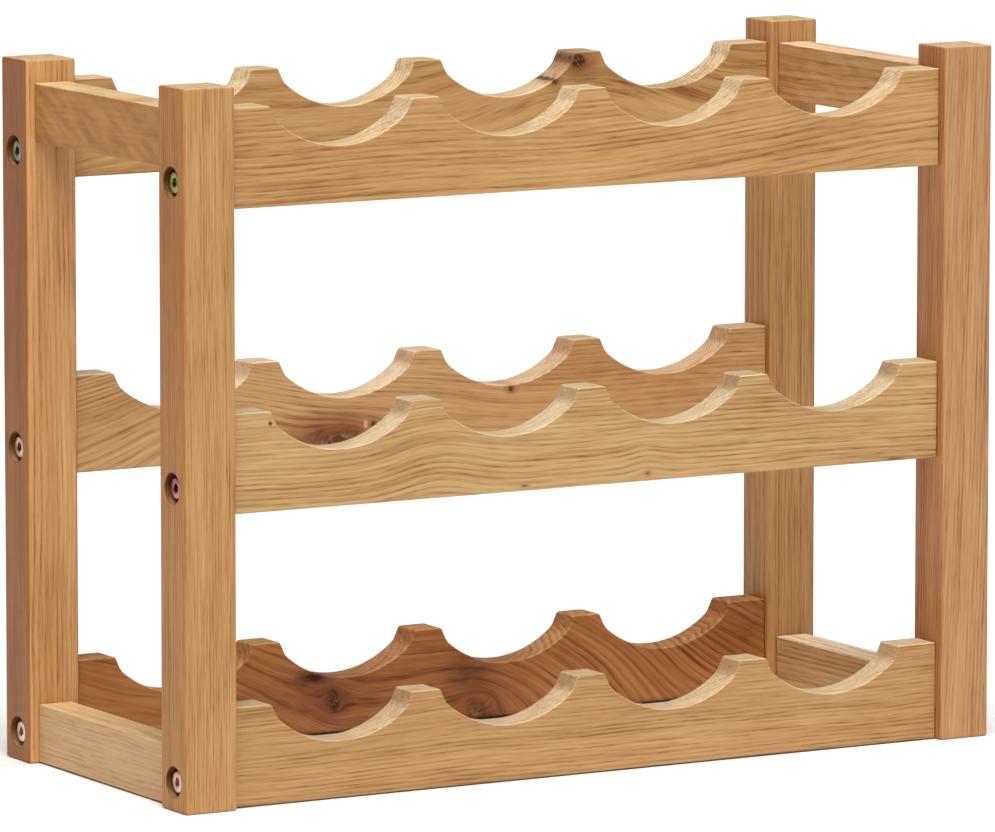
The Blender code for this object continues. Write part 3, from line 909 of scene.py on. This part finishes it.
steel = metal("nut_steel", (0.42, 0.42, 0.41), (0.60, 0.59, 0.56), 0.42, 17)
beech_tones = ((0.360, 0.210, 0.110), (0.560, 0.380, 0.220), (0.680, 0.500, 0.320))
dowel_beech = oak("beech_dowel", "rail", beech_tones, 151, (0.0, 0.3), 0.0040, contrast=0.5)
tenon_beech = oak("beech_tenon", "side_rail", beech_tones, 157, (0.0, 0.3), 0.0040, contrast=0.5)
for name, node in nodes.items():
    for prefix, material in (("barrel_nut", steel), ("dowel", dowel_beech), ("tenon", tenon_beech)):
        if name.startswith(prefix):
            node.material_slots[0].material = material


# Studio. A painted contact shadow darkens the floor close to the foot of the rear rail.
FOOT_SHADE = (0.42, 0.33, 0.29)
FOOT_SHADE_REACH = 0.006
FLOOR_REACH = 60.0
FLOOR_THICKNESS = 0.02
PAPER_GREY = (0.93, 0.93, 0.93)
PAPER_WHITE = (0.95, 0.95, 0.95)
PAPER_SCALE = (40.0, 40.0, 40.0)
PAPER_SEED = 3

# The sky is brightest low down behind the rack, where its tops mirror it
BRIGHT_SIDE = (0.49, 0.87, 0.0)
SKY_STRENGTH = 2.2
SKY_STOPS = [(0.0, 0.214), (0.3, 0.214), (0.9, 1.0), (1.0, 1.0)]


def make_floor():
    low = (-FLOOR_REACH, -FLOOR_REACH, -FLOOR_THICKNESS)
    high = (FLOOR_REACH, FLOOR_REACH, -GAP)
    mesh = box_mesh("floor", low, high)
    floor = new_object("floor", mesh)
    material, tree, shader = new_material("floor_paper")
    vector = tree.nodes.new("ShaderNodeTexCoord").outputs["Object"]
    grain = noise(tree, vector, PAPER_SCALE, PAPER_SEED, 3.0)
    shade = grain.colours([(0.0, PAPER_GREY), (1.0, PAPER_WHITE)])
    split = tree.nodes.new("ShaderNodeSeparateXYZ")
    tree.links.new(vector, split.inputs[0])
    x, y = (Field(tree, split.outputs[axis]) for axis in (0, 1))
    low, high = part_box("rail_rear_bottom")
    # painted contact shadow along the foot of the rear bottom rail
    foot = blob(x, y, ((low.x + high.x) / 2, low.y), ((high.x - low.x) / 2, FOOT_SHADE_REACH))
    shade = mix_colour(tree, foot, shade, FOOT_SHADE, "MULTIPLY")
    tree.links.new(shade, shader.inputs["Base Color"])
    shader.inputs["Roughness"].default_value = 0.9
    shader.inputs["Specular IOR Level"].default_value = 0.1
    mesh.materials.append(material)


def add_sun(name, towards, strength, angle):
    """Soft light travelling along a direction; angle is the size of its source."""
    light = bpy.data.lights.new(name, "SUN")
    light.energy = strength
    light.angle = math.radians(angle)
    lamp = bpy.data.objects.new(name, light)
    lamp.rotation_euler = Vector(towards).to_track_quat("-Z", "Y").to_euler()
    scene.collection.objects.link(lamp)


make_floor()
add_sun("overhead", (0.15, 0.30, -1.0), 3.6, 50.0)
add_sun("key", (0.25, 0.85, -0.50), 1.0, 35.0)

world = bpy.data.worlds.new("studio")
world.use_nodes = True
sky = world.node_tree
towards = sky.nodes.new("ShaderNodeTexCoord").outputs["Generated"]
rearward = sky.nodes.new("ShaderNodeVectorMath")
rearward.operation = "DOT_PRODUCT"
rearward.inputs[1].default_value = BRIGHT_SIDE
sky.links.new(towards, rearward.inputs[0])
glow = Field(sky, rearward.outputs["Value"]).curve(SKY_STOPS)
sky.links.new((glow * SKY_STRENGTH).socket, sky.nodes["Background"].inputs["Strength"])
scene.world = world
scene.view_settings.view_transform = "Standard"

camera_data = bpy.data.cameras.new("camera")
camera_data.lens = CAMERA_LENS
camera_data.sensor_width = SENSOR_WIDTH
camera_data.clip_end = CLIP_END
camera = bpy.data.objects.new("camera", camera_data)
camera.location = CAMERA_PLACE
camera.rotation_euler = (CAMERA_PITCH, 0.0, CAMERA_YAW)
scene.collection.objects.link(camera)
scene.camera = camera
